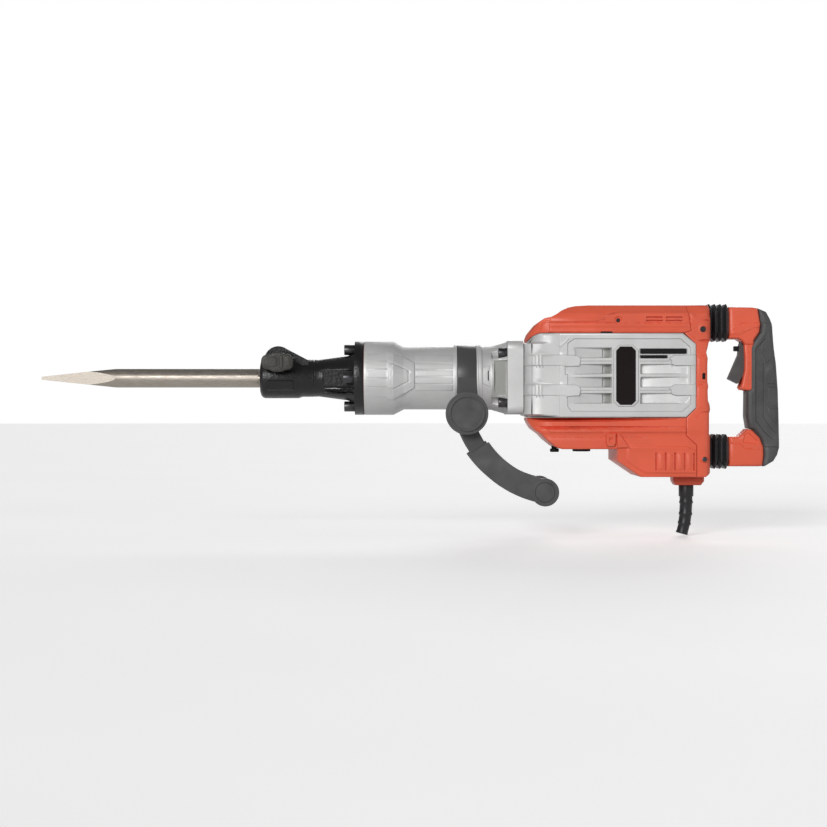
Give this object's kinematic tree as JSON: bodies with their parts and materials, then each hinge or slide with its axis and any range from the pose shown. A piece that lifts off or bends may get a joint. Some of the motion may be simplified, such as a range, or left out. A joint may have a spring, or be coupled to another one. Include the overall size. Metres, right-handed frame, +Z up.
{
  "type": "electric demolition hammer",
  "caption": "Electric jackhammer with a pointed chisel, black tool holder, silver barrel and gear case, red covers, swinging side handle and rear D-handle with trigger.",
  "frame": {"origin": "on the striking axis, at the mouth of the tool holder", "axes": "-X along the striking axis, the way the chisel points; +X towards the rear handle; +Z up, away from the side handle and the cord; +Y to the side away from the clamp knob"},
  "size_m": [1.148, 0.1542, 0.3597],
  "materials": {
    "chisel_steel": "matte forged steel, lightly brushed",
    "machined_steel": "machined",
    "polished_steel": "ground and polished",
    "black_casting": "black enamel on a rough casting, glossy",
    "black_bolts": "black oxide",
    "cast_aluminium": "silver paint on die-cast aluminium with a fine grain",
    "red_plastic": "moulded polyamide, satin",
    "grey_grip": "soft-touch rubber, satin",
    "black_rubber": "moulded rubber",
    "black_plastic": "moulded plastic",
    "label_black": "gloss film",
    "retainer_grey": "bare casting, warm grey",
    "gasket_paper": "fibre",
    "copper": "enamelled copper",
    "stator_iron": "laminated iron",
    "brass": "satin"
  },
  "bodies": {
    "housing": {"tool_holder": "black_casting", "holder_bushing": "machined_steel", "bolt_guide": "machined_steel", "damper_ring": "black_rubber", "holder_bolts": "black_bolts", "flange_gasket": "gasket_paper", "barrel": "cast_aluminium", "cylinder_liner": "machined_steel", "barrel_bolts": "black_bolts", "gear_case": "cast_aluminium", "crank_bearings": "polished_steel", "shaft_bearings": "polished_steel", "gear_cover": "cast_aluminium", "stator": "stator_iron", "brush_holders": "brass", "carbon_brushes": "black_plastic", "label_plates": "label_black", "vent_grilles": "black_plastic", "top_cover": "red_plastic", "lower_housing": "red_plastic", "rear_housing": "red_plastic", "housing_screws": "machined_steel", "grease_cap": "black_plastic", "guide_bars": "machined_steel", "damper_springs": "polished_steel", "upper_bellows": "black_rubber", "lower_bellows": "black_rubber", "cord_guard": "black_rubber"},
    "chisel": {"chisel": "chisel_steel"},
    "retainer": {"retainer_pin": "machined_steel", "retainer_knob": "retainer_grey"},
    "impact_bolt": {"impact_bolt": "polished_steel"},
    "ram": {"ram": "polished_steel"},
    "piston": {"piston": "polished_steel", "piston_rings": "black_plastic"},
    "crank": {"crankshaft": "machined_steel", "crank_gear": "machined_steel"},
    "rod": {"connecting_rod": "polished_steel", "wrist_pin": "machined_steel"},
    "intermediate": {"pinion_shaft": "machined_steel", "large_gear": "machined_steel"},
    "motor": {"armature_shaft": "machined_steel", "armature_core": "copper", "commutator": "copper", "cooling_fan": "black_plastic"},
    "band": {"handle_band": "black_casting", "clamp_saddle": "black_casting", "clamp_bolt": "machined_steel"},
    "knob": {"clamp_knob": "grey_grip"},
    "side_handle": {"handle_straps": "black_casting", "arm_sleeves": "grey_grip", "side_grip": "grey_grip", "grip_caps": "grey_grip"},
    "rear_handle": {"rear_handle_left": "red_plastic", "rear_handle_right": "red_plastic", "grip_cover": "grey_grip", "switch_unit": "black_plastic"},
    "trigger": {"trigger": "grey_grip"},
    "lock_button": {"lock_button": "black_plastic"}
  },
  "joints": [
    {"name": "chisel_slide", "type": "slide", "parent": "housing", "child": "chisel", "axis": [1, 0, 0], "range_m": [-0.022, 0]},
    {"name": "retainer_turn", "type": "hinge", "parent": "housing", "child": "retainer", "pos_m": [0.029, 0, 0.024], "axis": [0, 1, 0], "range_deg": [0, 180]},
    {"name": "impact_bolt_slide", "type": "slide", "parent": "housing", "child": "impact_bolt", "axis": [1, 0, 0], "range_m": [0, 0.005]},
    {"name": "ram_slide", "type": "slide", "parent": "housing", "child": "ram", "axis": [1, 0, 0], "range_m": [0, 0.06]},
    {"name": "piston_slide", "type": "slide", "parent": "housing", "child": "piston", "axis": [1, 0, 0], "range_m": [0, 0.03]},
    {"name": "crank_turn", "type": "hinge", "parent": "housing", "child": "crank", "pos_m": [0.49, 0, 0], "axis": [0, 0, 1], "continuous": true},
    {"name": "rod_turn", "type": "hinge", "parent": "crank", "child": "rod", "pos_m": [0.475, 0, 0], "axis": [0, 0, 1], "continuous": true},
    {"name": "intermediate_turn", "type": "hinge", "parent": "housing", "child": "intermediate", "pos_m": [0.558, 0, 0], "axis": [0, 0, 1], "continuous": true},
    {"name": "motor_turn", "type": "hinge", "parent": "housing", "child": "motor", "pos_m": [0.622, 0, 0], "axis": [0, 0, 1], "continuous": true},
    {"name": "band_turn", "type": "hinge", "parent": "housing", "child": "band", "pos_m": [0.319, 0, 0], "axis": [1, 0, 0], "continuous": true},
    {"name": "side_handle_swing", "type": "hinge", "parent": "band", "child": "side_handle", "pos_m": [0.319, 0, -0.055], "axis": [0, 1, 0], "range_deg": [0, 105]},
    {"name": "knob_turn", "type": "hinge", "parent": "band", "child": "knob", "pos_m": [0.319, 0, -0.055], "axis": [0, 1, 0], "continuous": true},
    {"name": "rear_handle_slide", "type": "slide", "parent": "housing", "child": "rear_handle", "axis": [1, 0, 0], "range_m": [-0.008, 0], "stiffness_N_per_m": 6000, "springref_m": 0.006, "deforming": ["upper_bellows", "lower_bellows", "damper_springs"]},
    {"name": "trigger_pull", "type": "hinge", "parent": "rear_handle", "child": "trigger", "pos_m": [0.752, 0, 0.054], "axis": [0, -1, 0], "range_deg": [0, 9], "stiffness_Nm_per_rad": 0.4, "springref_deg": -17.19},
    {"name": "lock_press", "type": "slide", "parent": "trigger", "child": "lock_button", "axis": [1, 0, 0], "range_m": [0, 0.003], "stiffness_N_per_m": 40, "springref_m": -0.004}
  ],
  "couplings": [
    {"joint": "rod_turn", "follows": "crank_turn", "ratio": -1},
    {"joint": "intermediate_turn", "follows": "crank_turn", "ratio": -3.5333},
    {"joint": "motor_turn", "follows": "crank_turn", "ratio": 13.862}
  ]
}
